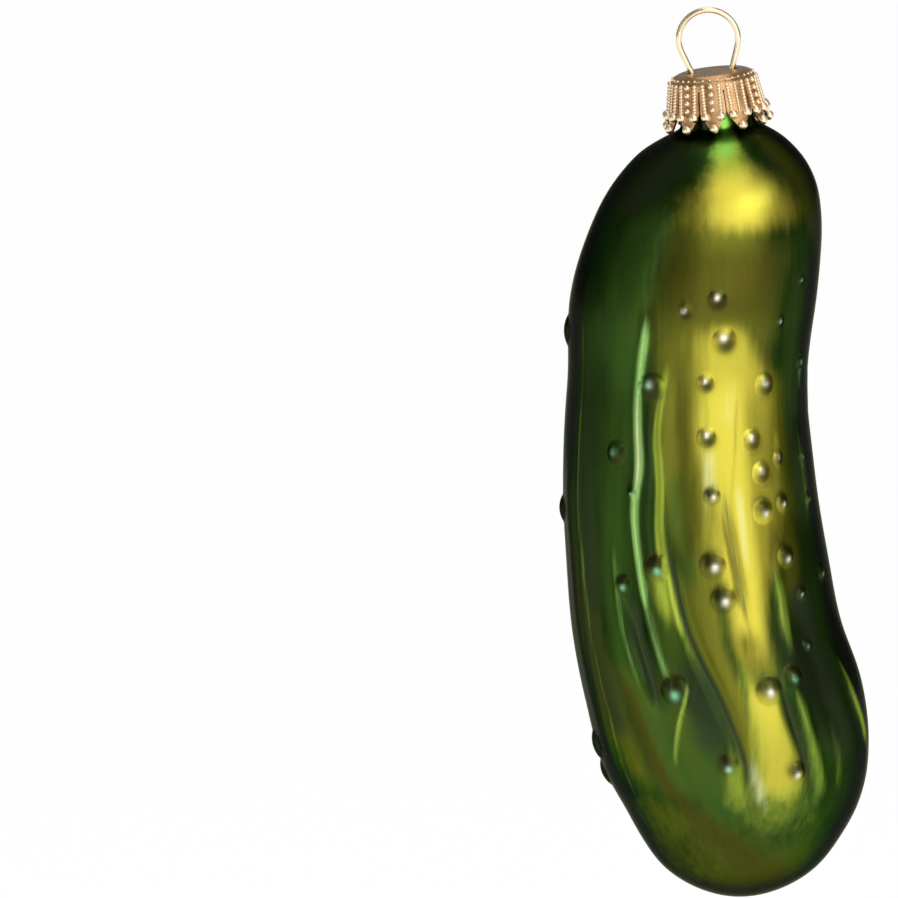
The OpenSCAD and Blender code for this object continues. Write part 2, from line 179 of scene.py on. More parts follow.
# %% Floor, world and lamps
floor_drop = 450 * mm
floor_reach = 9
floor_glow = 0.87
bpy.ops.mesh.primitive_circle_add(
    vertices=96, radius=floor_reach, fill_type="NGON", location=(0, 0, -floor_drop)
)
floor = bpy.context.object
floor.name = "floor"
paint, tree, shader = new_finish("floor_paint", 0, 0.9)
shader.inputs["Base Color"].default_value = (0.35, 0.35, 0.35, 1)
shader.inputs["Specular IOR Level"].default_value = 0.1
# The camera, metal and glass see the floor nearly white, and it still keeps a shadow
rays = add_node(tree, "ShaderNodeLightPath").outputs
mirrored = math_node(tree, "MAXIMUM", rays["Is Glossy Ray"], rays["Is Transmission Ray"])
seen = math_node(tree, "MAXIMUM", rays["Is Camera Ray"], mirrored)
shader.inputs["Emission Color"].default_value = (1, 1, 1, 1)
tree.links.new(math_node(tree, "MULTIPLY", seen, floor_glow), shader.inputs["Emission Strength"])
floor.data.materials.append(paint)

world = bpy.data.worlds.new("studio")
bpy.context.scene.world = world
world.use_nodes = True
world.node_tree.nodes["Background"].inputs["Color"].default_value = (0.3, 0.3, 0.3, 1)

soft_box("right_front_box", 26, 0.25, 1.0, (1.15, 0.9), 1.3)
soft_box("left_strip", -46, 0.15, 1.0, (0.09, 0.9), 3)
soft_box("small_box", 50, 0.62, 1.05, (0.8, 0.42), 1.4)
soft_box("top_box", 20, 1.0, 0.75, (0.9, 0.75), 1.25)
soft_box("overhead_box", 188, 1.3, 0.3, (0.6, 1.5), 1.3)
bpy.context.scene.view_settings.view_transform = "Standard"

# %% [markdown]
# ## Glass pickle: rings
# The pickle was blown into a two-part mould, so it is one smooth bent body with a short straight neck. A
# bent body could be carved out of a sphere, but here it is drawn as a glassblower sees it: one ring after
# another. A circle is added at the neck and extruded down ring by ring, and each new ring is widened, turned
# and moved sideways. Subdivision then makes the rings one smooth surface.

# %% Sizes of the pickle
body_length = 103.2 * mm
body_width = 37.52 * mm
body_depth = 36.34 * mm
bend_reach = 7.4 * mm
glass_wall = 0.8 * mm
neck_lean = math.radians(6.5)
neck_r = 4.9 * mm
neck_wall = 0.75 * mm
collar_lip = 0.35 * mm
collar_share = 0.04
lean_share = 0.28
loop_middle = Vector((0, 0, -3.525)) * mm
cap_top_drop = 4.195 * mm
rim_drop = 0.7 * mm
foot_drop = 7.45 * mm

# Share of the way down, share of the half width, share of the bend's reach
outline_shares = np.array([
    [0, 0, 0], [0.008, 0.29, -0.05], [0.024, 0.5, -0.11], [0.044, 0.62, -0.12], [0.07, 0.72, -0.14],
    [0.1, 0.79, -0.18], [0.14, 0.84, -0.26], [0.18, 0.865, -0.36], [0.225, 0.875, -0.45],
    [0.27, 0.86, -0.51], [0.316, 0.846, -0.54], [0.36, 0.856, -0.56], [0.41, 0.878, -0.54],
    [0.485, 0.905, -0.48], [0.56, 0.93, -0.36], [0.64, 0.957, -0.21], [0.705, 0.995, 0.03],
    [0.76, 0.99, 0.19], [0.8, 0.97, 0.27], [0.84, 0.925, 0.34], [0.88, 0.83, 0.42], [0.92, 0.71, 0.42],
    [0.96, 0.545, 0.41], [1, 0, 0.4],
])
width_column, bend_column = 1, 2


# %% A smooth outline from its rows
def smooth_column(s, column):
    """A smooth curve through one column of the outline, at shares s of the way down."""
    rows = outline_shares[:, 0]
    # Widths are squared on the way, because that makes both ends round
    values = outline_shares[:, column] ** (2 if column == width_column else 1)
    before, after = np.r_[0, np.arange(len(rows) - 1)], np.r_[np.arange(1, len(rows)), len(rows) - 1]
    slopes = (values[after] - values[before]) / (rows[after] - rows[before])
    k = np.clip(np.searchsorted(rows, s, side="right") - 1, 0, len(rows) - 2)
    h = rows[k + 1] - rows[k]
    t = (s - rows[k]) / h
    return (
        (2 * t**3 - 3 * t**2 + 1) * values[k] + (t**3 - 2 * t**2 + t) * h * slopes[k]
        + (3 * t**2 - 2 * t**3) * values[k + 1] + (t**3 - t**2) * h * slopes[k + 1]
    )


def ease(x):
    """0 to 1 with a soft start and a soft end."""
    t = np.clip(x, 0, 1)
    return t * t * (3 - 2 * t)


def collar(s):
    """How much of the collar at the neck's foot is left, from 1 to 0."""
    return np.clip(1 - s / collar_share, 0, 1) ** 2


def half_width(s):
    squared = np.clip(smooth_column(s, width_column), 0, None)
    return np.sqrt(squared * (body_width / 2) ** 2 + collar(s) * (neck_r + collar_lip) ** 2)


def roundness(s):
    """The pickle's depth as a share of its width."""
    return 1 + (body_depth / body_width - 1) * (1 - collar(s))


def lean(s):
    return neck_lean * (1 - ease(s / lean_share))


neck_up = Vector((-math.sin(neck_lean), 0, math.cos(neck_lean)))
cap_top = loop_middle - neck_up * cap_top_drop
rim_middle = cap_top - neck_up * rim_drop
foot = cap_top - neck_up * foot_drop


def ring_middle(s):
    bend = float(smooth_column(s, bend_column)) * bend_reach
    return Vector((foot.x + bend, 0, foot.z - s * body_length))


print("neck rim at", [round(v / mm, 2) for v in rim_middle], "foot at", [round(v / mm, 2) for v in foot])


# %% Modelling helpers
def start_fresh():
    """Leaves edit mode and lets go of everything, so that an operator acts on the new piece alone."""
    if bpy.context.object and bpy.context.object.mode == "EDIT":
        bpy.ops.object.mode_set(mode="OBJECT")
    bpy.ops.object.select_all(action="DESELECT")


def make_active(piece):
    """Selects one piece alone, which is what modifiers and edit mode act on."""
    start_fresh()
    piece.select_set(True)
    bpy.context.view_layer.objects.active = piece


def settle():
    """Writes the piece's place and turn into its mesh, so that the piece itself is at the origin."""
    bpy.ops.object.transform_apply(location=True, rotation=True, scale=True)


def edit(select_mode="VERT"):
    bpy.ops.object.mode_set(mode="EDIT")
    bpy.ops.mesh.select_mode(type=select_mode)


def pick(piece, wanted, kind="verts"):
    """Selects the vertices, edges or faces whose place or normal passes a test, and nothing else."""
    bpy.ops.mesh.select_all(action="DESELECT")
    shape = bmesh.from_edit_mesh(piece.data)
    found = [e for e in getattr(shape, kind) if wanted(e)]
    for e in found:
        e.select_set(True)
    shape.select_flush_mode()
    bmesh.update_edit_mesh(piece.data)
    return len(found)


def face_outwards():
    bpy.ops.mesh.select_all(action="SELECT")
    bpy.ops.mesh.normals_make_consistent(inside=False)


def pull(offset):
    """Extrudes what is selected by an offset."""
    bpy.ops.mesh.extrude_region_move(TRANSFORM_OT_translate={"value": offset})


class Ring:
    """The size and place of the ring that is selected."""

    def __init__(self, middle, r, depth_r, tilt):
        self.middle, self.r, self.depth_r, self.tilt = Vector(middle), r, depth_r, tilt


def next_ring(old, new):
    """Extrudes the selected ring, then widens, moves and turns the new one."""
    pull(new.middle - old.middle)
    wider = new.r / old.r
    bpy.ops.transform.resize(value=(wider, new.depth_r / old.depth_r, wider), center_override=new.middle)
    # This operator turns the right side up for a plus, where an object's rotation would turn it down
    turn = new.tilt - old.tilt
    if abs(turn) > 1e-7:
        bpy.ops.transform.rotate(value=turn, orient_axis="Y", center_override=new.middle)
    return new


# %% Draw the outside ring by ring
ring_sides = 72
rim_r = neck_r - neck_wall / 2
shoulder_end, tip_start = 0.1, 0.88
shoulder_rings, side_rings, tip_rings = 9, 32, 11
# Drop below the rim, and how far the ring is off the neck's own radius, both in mm
outer_neck_rings = [(0.02, -0.1), (0.12, -0.02), (0.3, 0), (2.4, 0), (4.6, 0), (6.2, 0)]
outer_body_rings = np.r_[
    shoulder_end * (np.arange(shoulder_rings) / shoulder_rings) ** 1.3,
    np.linspace(shoulder_end, tip_start, side_rings),
    tip_start + (1 - tip_start) * np.sin(np.radians(90 * np.arange(1, tip_rings + 1) / (tip_rings + 1))),
]


def draw_skin(neck_rings, straight_r, body_rings, inset):
    """Draws a skin on from the rim, down the neck and the body, and closes it at the bottom."""
    ring = Ring(rim_middle, rim_r, rim_r, neck_lean)
    for drop, wider in neck_rings:
        r = straight_r + wider * mm
        ring = next_ring(ring, Ring(rim_middle - neck_up * drop * mm, r, r, neck_lean))
    for s in body_rings:
        r = float(half_width(s)) - inset
        ring = next_ring(ring, Ring(ring_middle(s), r, r * float(roundness(s)), float(lean(s))))
    pull(ring_middle(1.0) + Vector((0, 0, inset)) - ring.middle)
    bpy.ops.mesh.merge(type="CENTER")


start_fresh()
bpy.ops.mesh.primitive_circle_add(
    vertices=ring_sides, radius=rim_r, location=rim_middle, rotation=(0, -neck_lean, 0)
)
pickle = bpy.context.object
pickle.name = "pickle_glass"
settle()
edit()
bpy.ops.mesh.select_all(action="SELECT")
draw_skin(outer_neck_rings, neck_r, outer_body_rings, 0)
print("outside drawn with", len(outer_neck_rings) + len(outer_body_rings) + 1, "rings")

# %% [markdown]
# The glass is thin, and its inside shows when the cap is lifted. The rim is therefore drawn on inwards and
# down as a second, plainer skin, instead of thickening the finished surface, which would double its detail
# where nobody sees it.

# %% Draw the lining
bore_rings = [(0.02, 0.1), (0.12, 0.02), (0.3, 0), (3.5, 0), (6.9, 0)]
lining_rings = [0.014, 0.045, 0.12, 0.25, 0.42, 0.6, 0.76, 0.88, 0.95, 0.982]
# Leaving edit mode for a moment brings the piece's own data up to date
bpy.ops.object.mode_set(mode="OBJECT")
print("outside has", len(pickle.data.vertices), "points")
edit()
pick(pickle, lambda v: abs((v.co - rim_middle).length - rim_r) < 1e-6 and len(v.link_edges) == 3)
draw_skin(bore_rings, neck_r - neck_wall, lining_rings, glass_wall)
face_outwards()
bpy.ops.object.mode_set(mode="OBJECT")
print("with its lining", len(pickle.data.vertices), "points")

# %% Smooth it
smooth = pickle.modifiers.new("smooth", "SUBSURF")
smooth.levels = smooth.render_levels = 2
bpy.ops.object.modifier_apply(modifier="smooth")
print("smooth pickle", len(pickle.data.polygons), "faces")

# %% [markdown]
# ## Glass pickle: folds and warts
# The mould gave the glass long folds and round warts. Each one is placed by its share of the way down and
# its angle from the front, so every point of the mesh first finds out where it lies on the pickle. Folds are
# soft waves along a drawn line, and warts are domes with a crisp foot. They could be bump texture alone, but
# the warts stand half a millimetre proud and show in the outline, so the mesh itself is moved.


# %% Where a point lies on the pickle
def where_on_pickle(places):
    """Share of the way down, and angle in degrees from the front towards the right."""
    x, y, z = places.T
    s = np.clip((foot.z - z) / body_length, 0, 1)
    for _ in range(8):
        across = (x - foot.x - smooth_column(s, bend_column) * bend_reach) / np.cos(lean(s))
        s = np.clip((foot.z - z + across * np.sin(lean(s))) / body_length, 0, 1)
    back = -y / roundness(s)
    return s, np.degrees(np.arctan2(across, back)), np.hypot(across, back)


def skin_place(s, a):
    """The place on the smooth pickle at a share and an angle."""
    r, turn = float(half_width(s)), math.radians(a)
    tilt = float(lean(s))
    middle = ring_middle(s)
    return np.array([
        middle.x + r * math.sin(turn) * math.cos(tilt),
        -r * float(roundness(s)) * math.cos(turn),
        middle.z + r * math.sin(turn) * math.sin(tilt),
    ])


def skin_normal(s, a):
    down = skin_place(s + 0.004, a) - skin_place(s - 0.004, a)
    round_it = skin_place(s, a + 1) - skin_place(s, a - 1)
    out = -np.cross(round_it, down)
    return out / np.linalg.norm(out)


def places_of(piece):
    places = np.empty(len(piece.data.vertices) * 3)
    piece.data.vertices.foreach_get("co", places)
    return places.reshape(-1, 3)


def move_to(piece, places):
    piece.data.vertices.foreach_set("co", places.ravel())
    piece.data.update()


# %% The warts
wart_width = 3.4 * mm
wart_height = 0.57 * mm
# Share of the way down, angle, and share of the full width
front_warts = [
    (0.192, 58, 0.42), (0.2035, 10, 0.75), (0.219, -4.5, 0.6), (0.239, 45.6, 0.5), (0.256, 15.5, 1),
    (0.298, 67, 0.6), (0.311, 8, 0.66), (0.318, 39.3, 0.9), (0.317, -18, 1), (0.264, -90, 1.25),
    (0.381, 9, 0.75), (0.388, 31, 0.84), (0.406, -36, 0.9), (0.414, 46, 0.6), (0.43, 35, 0.84),
    (0.419, 64, 0.42), (0.456, 10, 0.66), (0.454, -27.5, 0.42), (0.479, 34, 0.92), (0.471, 46, 0.66),
    (0.472, 66, 0.5), (0.495, -90, 1.1), (0.54, 43, 0.84), (0.545, 7, 1), (0.55, -18, 1),
    (0.569, 68, 0.6), (0.575, -35.4, 0.75), (0.589, 9.7, 1), (0.589, 49, 0.5), (0.654, 46.6, 0.5),
    (0.708, -19.3, 1.2), (0.706, 20, 1.1), (0.691, 32.5, 0.84), (0.804, -2.6, 0.9),
    (0.8155, 26.8, 0.84), (0.799, -82, 1.2), (0.839, -90, 1.15),
]
# Round the back they are spread evenly but out of step, by a turn that never repeats
back_warts = [
    (0.2 + 0.64 * (k + 0.5) / 22, 106 + 138 * (k * 0.618 % 1), (1, 0.7, 0.85)[k % 3]) for k in range(22)
]
warts = front_warts + back_warts
print(len(warts), "warts")

# %% A finer mesh where the warts are
centres = np.empty(len(pickle.data.polygons) * 3)
pickle.data.polygons.foreach_get("center", centres)
centres = centres.reshape(-1, 3)
near_wart = np.zeros(len(centres), bool)
for s, a, size in warts:
    near_wart |= np.linalg.norm(centres - skin_place(s, a), axis=1) < 0.72 * size * wart_width
make_active(pickle)
edit("FACE")
bpy.ops.mesh.select_all(action="DESELECT")
bpy.ops.object.mode_set(mode="OBJECT")
pickle.data.polygons.foreach_set("select", near_wart)
bpy.ops.object.mode_set(mode="EDIT")
bpy.ops.mesh.subdivide(number_cuts=1)
bpy.ops.object.mode_set(mode="OBJECT")
print("with finer places", len(pickle.data.polygons), "faces")

# %% Folds along drawn lines
fold_height = 0.7 * mm
# Share of the full height, half its width in degrees, and the line as shares down and angles
folds = [
    (0.6, 2.8, [(0.2, -23), (0.25, -22), (0.33, -24.6), (0.42, -22.7), (0.47, -26.5), (0.57, -25.5),
                (0.7, -21)]),
    (0.35, 3.2, [(0.26, -9), (0.385, -15), (0.435, -13), (0.51, -16), (0.58, -12.5), (0.68, -7)]),
    (-0.5, 6, [(0.24, -6), (0.33, -5), (0.46, -4), (0.56, -4)]),
    (-0.8, 2.6, [(0.52, -12), (0.608, -9.3), (0.663, -5.5), (0.71, -2), (0.754, 1.3), (0.786, 4.1),
                 (0.84, 6)]),
    (-0.6, 2.6, [(0.44, 15), (0.515, 16.9), (0.589, 18.3), (0.64, 18.5)]),
    (0.3, 9, [(0.3, 27), (0.5, 27), (0.68, 24)]),
    (0.5, 2.6, [(0.52, 36), (0.604, 36.8), (0.68, 36)]),
    (-0.6, 6, [(0.57, 47), (0.7, 46), (0.8, 50)]),
    (-0.7, 2.6, [(0.68, 25.5), (0.752, 27.8), (0.792, 31.3), (0.85, 34)]),
    (0.6, 2.8, [(0.68, 32), (0.765, 34.4), (0.818, 39), (0.88, 41)]),
    (-0.5, 7, [(0.16, 52), (0.4, 54), (0.56, 56)]),
    (0.5, 3, [(0.36, 63), (0.52, 65)]),
    (0.6, 2.8, [(0.65, 60), (0.708, 63.7), (0.735, 67.5), (0.774, 72.5), (0.83, 78)]),
    (-0.45, 7, [(0.16, -44), (0.66, -42)]),
    (-0.9, 4.5, [(0.57, -33), (0.61, -31.3), (0.665, -30), (0.76, -27)]),
    (0.5, 2.6, [(0.5, -40), (0.6, -39), (0.676, -35.4), (0.75, -33)]),
    (0.45, 2.6, [(0.68, -11), (0.716, -14), (0.739, -19), (0.785, -24), (0.84, -26)]),
    (0.5, 7, [(0.4, -70), (0.84, -64)]),
    (0.14, 0.9, [(0.36, -61.2), (0.88, -61.2)]),
    (0.14, 0.9, [(0.1, 118.8), (0.9, 118.8)]),
    (-1, 7, [(0.18, 105), (0.86, 98)]),
    (-0.9, 7, [(0.16, 140), (0.84, 150)]),
    (-1, 7, [(0.2, 182), (0.88, 176)]),
    (-0.9, 7, [(0.15, 220), (0.82, 214)]),
    (-0.8, 7, [(0.2, 246), (0.84, 250)]),
    (0.3, 9, [(0.2, 122), (0.84, 124)]),
    (0.3, 9, [(0.2, 201), (0.84, 196)]),
]


def turned(a):
    return a - 360 * np.round(a / 360)


def along_line(s, a, line, half_angle, fade=0.07, power=2):
    """How strongly a drawn line is felt at each place, from 0 to 1."""
    rows = np.array(line, float)
    widths = rows[:, 2] if rows.shape[1] == 3 else np.full(len(rows), half_angle)

    def softly(values):
        """Values between the line's points, with its corners rounded off."""
        return sum(np.interp(s + k, rows[:, 0], values) for k in (-0.018, -0.006, 0.006, 0.018)) / 4

    off = turned(a - softly(rows[:, 1])) / softly(widths)
    ends = ease((s - rows[0, 0]) / fade) * ease((rows[-1, 0] - s) / fade)
    return np.exp(-np.abs(off) ** power) * ends


places = places_of(pickle)
share, angle, reach = where_on_pickle(places)
outside = ease((reach - half_width(share) + 0.6 * glass_wall) / (0.3 * glass_wall)) * (share > 0)
fold = sum(height * along_line(share, angle, line, wide) for height, wide, line in folds)
away = np.stack([
    np.sin(np.radians(angle)) * np.cos(lean(share)),
    -np.cos(np.radians(angle)),
    np.sin(np.radians(angle)) * np.sin(lean(share)),
], axis=1)
places += away * (fold_height * fold * outside)[:, None]
deepest, highest = fold.min() * fold_height / mm, fold.max() * fold_height / mm
print("folds from", round(deepest, 2), "to", round(highest, 2), "mm")

# %% Raise the warts
wart_foot = np.zeros(len(places))
wart_top = np.zeros(len(places))
flat_places = places.copy()
for s, a, size in warts:
    out = skin_normal(s, a)
    middle = skin_place(s, a)
    close = np.linalg.norm(flat_places - middle, axis=1) < size * wart_width
    near = np.nonzero(close & (outside > 0.5))[0]
    apart = flat_places[near] - middle
    apart -= np.outer(apart @ out, out)
    off = apart / (size * wart_width / 2)
    t = np.linalg.norm(apart, axis=1) / (size * wart_width / 2)
    dome = np.clip(1 - t**2, 0, 1) ** 0.9
    places[near] += np.outer(dome * wart_height * min(size, 0.95), out)
    # Each wart gets a painted shade on one side and a painted highlight opposite it: the shade right and down
    # on the upper ones, left and up on the lower
    thick_side = np.array([0.5, 0, -0.85]) if s < 0.44 else np.array([-0.45, 0, 0.9])
    thick = np.exp(-((np.linalg.norm(off - 0.4 * thick_side, axis=1) / 0.85) ** 3.2))
    bare = np.exp(-((np.linalg.norm(off + 0.25 * thick_side, axis=1) / 0.28) ** 2))
    wart_foot[near] = np.maximum(wart_foot[near], thick)
    wart_top[near] = np.maximum(wart_top[near], bare * (1 if abs(a) < 75 else 0.3))
move_to(pickle, places)
bpy.ops.object.shade_smooth()
print("warts up to", wart_height / mm, "mm high")

# %% [markdown]
# ## Lacquer
# Inside, the glass is silvered like a mirror. Outside, transparent lacquers were sprayed on in soft strokes:
# green all over, yellow down the front, and olive and brown between. Dark strokes make the sides darker. Some
# of the colour is painted light instead: thin painted highlights along the ridges and in the bright band,
# painted shade along the grooves, and on each wart a painted shade on one side and a painted highlight on the
# other. Each stroke is drawn here as a line with a width, and kept as an attribute of the mesh, one for each
# layer, so that it follows the bent surface. The material then mixes the colours over a metallic shader.

